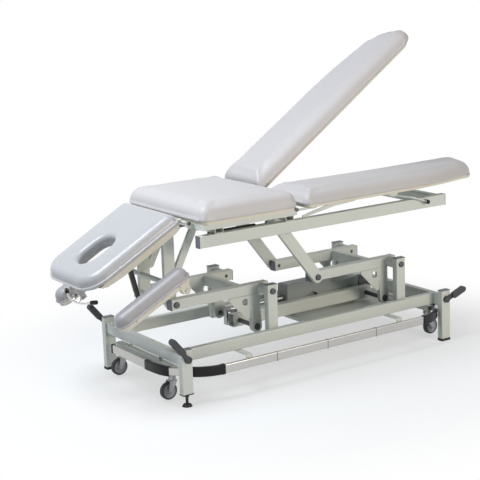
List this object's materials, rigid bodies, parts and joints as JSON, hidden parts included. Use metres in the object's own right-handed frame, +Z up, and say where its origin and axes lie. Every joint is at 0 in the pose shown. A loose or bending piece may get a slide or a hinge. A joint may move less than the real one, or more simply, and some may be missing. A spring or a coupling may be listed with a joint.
{
  "type": "treatment couch",
  "caption": "Height-adjustable treatment couch with split leg sections, drop head section with face hole, armrests and retractable castors.",
  "frame": {"origin": "on the floor under the middle of the base frame", "axes": "+X towards the foot end, -Y towards the side with the raised-bar controls, +Z up"},
  "size_m": [2.0666, 0.7138, 1.3957],
  "materials": {
    "powder_coat": "pale green-grey satin powder coat",
    "zinc": "zinc-plated steel",
    "chrome": "polished chrome plate",
    "aluminium": "satin anodised extrusion",
    "vinyl": "pale grey vinyl-coated fabric over foam",
    "moulded": "pale grey moulded integral-skin foam",
    "board": "cream laminated board",
    "black_plastic": "black moulded plastic",
    "grey_plastic": "mid grey moulded plastic",
    "black_gloss": "glossy black moulded corner",
    "housing": "pale grey housing",
    "wheel": "dark grey castor wheel",
    "black_steel": "black painted spring body"
  },
  "bodies": {
    "base": {"base_legs": "powder_coat", "base_beams": "powder_coat", "base_rail_near": "powder_coat", "base_rail_far": "powder_coat", "base_posts": "powder_coat", "base_bolts": "zinc", "base_caps": "grey_plastic", "base_feet": "black_plastic", "base_plates": "powder_coat", "drive_housing": "housing", "drive_motor": "black_plastic"},
    "foot_bar": {"foot_bar": "aluminium", "foot_bar_corners": "black_gloss"},
    "arm_foot": {"arm_foot_tubes": "powder_coat", "arm_foot_levers": "powder_coat", "arm_foot_pins": "zinc", "arm_foot_caps": "grey_plastic"},
    "arm_head": {"arm_head_tubes": "powder_coat", "arm_head_levers": "powder_coat", "arm_head_pins": "zinc", "arm_head_caps": "grey_plastic"},
    "tie_beam": {"tie_beam": "powder_coat"},
    "drive_rod": {"drive_rod": "zinc"},
    "upper_frame": {"top_rail_near": "powder_coat", "top_rail_far": "powder_coat", "top_links": "powder_coat", "top_cross_tubes": "powder_coat", "top_caps": "grey_plastic", "mid_frame": "powder_coat", "mid_board": "board", "mid_cushion": "vinyl", "leg_strut_bodies": "black_steel"},
    "head_section": {"head_cushion": "moulded", "head_board": "board", "head_brackets": "zinc", "release_bar": "chrome"},
    "head_strut_body": {"head_strut_body": "black_steel"},
    "head_strut_rod": {"head_strut_rod": "zinc"},
    "armrest_near": {"armrest_near_pad": "moulded", "armrest_near_board": "board"},
    "armrest_far": {"armrest_far_pad": "moulded", "armrest_far_board": "board"},
    "leg_near": {"leg_near_cushion": "vinyl", "leg_near_frame": "board"},
    "leg_far": {"leg_far_cushion": "vinyl", "leg_far_frame": "board"},
    "leg_near_rod": {"leg_near_rod": "zinc"},
    "leg_far_rod": {"leg_far_rod": "zinc"},
    "carrier_head": {"carrier_head": "powder_coat"},
    "carrier_foot": {"carrier_foot": "powder_coat"},
    "pedals_head": {"pedals_head": "black_plastic"},
    "pedals_foot": {"pedals_foot": "black_plastic"},
    "castor_head_near": {"castor_head_near_fork": "zinc"},
    "wheel_head_near": {"castor_head_near_wheel": "wheel"},
    "castor_head_far": {"castor_head_far_fork": "zinc"},
    "wheel_head_far": {"castor_head_far_wheel": "wheel"},
    "castor_foot_near": {"castor_foot_near_fork": "zinc"},
    "wheel_foot_near": {"castor_foot_near_wheel": "wheel"},
    "castor_foot_far": {"castor_foot_far_fork": "zinc"},
    "wheel_foot_far": {"castor_foot_far_wheel": "wheel"}
  },
  "joints": [
    {"name": "lift", "type": "hinge", "parent": "base", "child": "arm_foot", "pos_m": [0.506, 0, 0.37], "axis": [0, 1, 0], "range_deg": [-20, 12]},
    {"name": "lift_frame", "type": "hinge", "parent": "arm_foot", "child": "upper_frame", "pos_m": [0.086, 0, 0.37], "axis": [0, 1, 0], "range_deg": [-12, 20]},
    {"name": "lift_head_arm", "type": "hinge", "parent": "base", "child": "arm_head", "pos_m": [-0.2, 0, 0.37], "axis": [0, 1, 0], "range_deg": [-20, 12]},
    {"name": "lift_tie", "type": "hinge", "parent": "arm_foot", "child": "tie_beam", "pos_m": [0.478, 0, 0.204], "axis": [0, 1, 0], "range_deg": [-12, 20]},
    {"name": "drive_stroke", "type": "slide", "parent": "base", "child": "drive_rod", "axis": [1, 0, 0], "range_m": [-0.035, 0.0581]},
    {"name": "head_tilt", "type": "hinge", "parent": "upper_frame", "child": "head_section", "pos_m": [-0.59, 0, 0.715], "axis": [0, 1, 0], "range_deg": [-5, 40]},
    {"name": "head_strut_swing", "type": "hinge", "parent": "upper_frame", "child": "head_strut_body", "pos_m": [-0.708, 0, 0.38], "axis": [0, 1, 0], "range_deg": [-0.41, 0.095]},
    {"name": "head_strut_slide", "type": "slide", "parent": "head_strut_body", "child": "head_strut_rod", "axis": [-0.2366, 0, 0.9716], "range_m": [-0.01757, 0.13913]},
    {"name": "armrest_near_tilt", "type": "hinge", "parent": "upper_frame", "child": "armrest_near", "pos_m": [-0.636, -0.256, 0.456], "axis": [0, 1, 0], "range_deg": [-8, 15]},
    {"name": "armrest_far_tilt", "type": "hinge", "parent": "upper_frame", "child": "armrest_far", "pos_m": [-0.636, 0.256, 0.456], "axis": [0, 1, 0], "range_deg": [-8, 15]},
    {"name": "leg_near_tilt", "type": "hinge", "parent": "upper_frame", "child": "leg_near", "pos_m": [-0.106, -0.15, 0.712], "axis": [0, 1, 0], "range_deg": [-34.5, 0]},
    {"name": "leg_far_tilt", "type": "hinge", "parent": "upper_frame", "child": "leg_far", "pos_m": [-0.106, 0.15, 0.712], "axis": [0, 1, 0], "range_deg": [0, 34.5]},
    {"name": "leg_near_spring", "type": "slide", "parent": "upper_frame", "child": "leg_near_rod", "axis": [1, 0, 0], "range_m": [0, 0.0499]},
    {"name": "leg_far_spring", "type": "slide", "parent": "upper_frame", "child": "leg_far_rod", "axis": [1, 0, 0], "range_m": [-0.0499, 0]},
    {"name": "foot_bar_press", "type": "slide", "parent": "base", "child": "foot_bar", "axis": [0, 0, 1], "range_m": [-0.006, 0.006], "stiffness_N_per_m": 6000, "springref_m": 0.0024},
    {"name": "carrier_head_drop", "type": "slide", "parent": "base", "child": "carrier_head", "axis": [0, 0, 1], "range_m": [-0.01, 0]},
    {"name": "pedals_head_press", "type": "hinge", "parent": "base", "child": "pedals_head", "pos_m": [-0.687, 0, 0.196], "axis": [0, 1, 0], "range_deg": [-30, 0]},
    {"name": "castor_head_near_swivel", "type": "hinge", "parent": "carrier_head", "child": "castor_head_near", "pos_m": [-0.687, -0.205, 0.1], "axis": [0, 0, 1], "continuous": true},
    {"name": "castor_head_near_roll", "type": "hinge", "parent": "castor_head_near", "child": "wheel_head_near", "pos_m": [-0.707, -0.205, 0.039], "axis": [0, 1, 0], "continuous": true},
    {"name": "castor_head_far_swivel", "type": "hinge", "parent": "carrier_head", "child": "castor_head_far", "pos_m": [-0.687, 0.205, 0.1], "axis": [0, 0, 1], "continuous": true},
    {"name": "castor_head_far_roll", "type": "hinge", "parent": "castor_head_far", "child": "wheel_head_far", "pos_m": [-0.707, 0.205, 0.039], "axis": [0, 1, 0], "continuous": true},
    {"name": "carrier_foot_drop", "type": "slide", "parent": "base", "child": "carrier_foot", "axis": [0, 0, 1], "range_m": [-0.01, 0]},
    {"name": "pedals_foot_press", "type": "hinge", "parent": "base", "child": "pedals_foot", "pos_m": [0.687, 0, 0.196], "axis": [0, 1, 0], "range_deg": [0, 30]},
    {"name": "castor_foot_near_swivel", "type": "hinge", "parent": "carrier_foot", "child": "castor_foot_near", "pos_m": [0.687, -0.205, 0.1], "axis": [0, 0, 1], "continuous": true},
    {"name": "castor_foot_near_roll", "type": "hinge", "parent": "castor_foot_near", "child": "wheel_foot_near", "pos_m": [0.707, -0.205, 0.039], "axis": [0, 1, 0], "continuous": true},
    {"name": "castor_foot_far_swivel", "type": "hinge", "parent": "carrier_foot", "child": "castor_foot_far", "pos_m": [0.687, 0.205, 0.1], "axis": [0, 0, 1], "continuous": true},
    {"name": "castor_foot_far_roll", "type": "hinge", "parent": "castor_foot_far", "child": "wheel_foot_far", "pos_m": [0.707, 0.205, 0.039], "axis": [0, 1, 0], "continuous": true}
  ],
  "couplings": [
    {"joint": "lift_frame", "follows": "lift", "ratio": -1},
    {"joint": "lift_head_arm", "follows": "lift", "ratio": 1},
    {"joint": "lift_tie", "follows": "lift", "ratio": -1},
    {"joint": "drive_stroke", "follows": "lift", "m_per_rad": -0.166},
    {"joint": "leg_near_spring", "follows": "leg_near_tilt", "m_per_rad": -0.082738},
    {"joint": "leg_far_spring", "follows": "leg_far_tilt", "m_per_rad": -0.082738},
    {"joint": "pedals_head_press", "follows": "carrier_head_drop", "rad_per_m": 52.36},
    {"joint": "pedals_foot_press", "follows": "carrier_foot_drop", "rad_per_m": -52.36},
    {"joint": "head_strut_swing", "follows": "head_tilt", "ratio": -0.009},
    {"joint": "head_strut_slide", "follows": "head_tilt", "m_per_rad": 0.199}
  ]
}
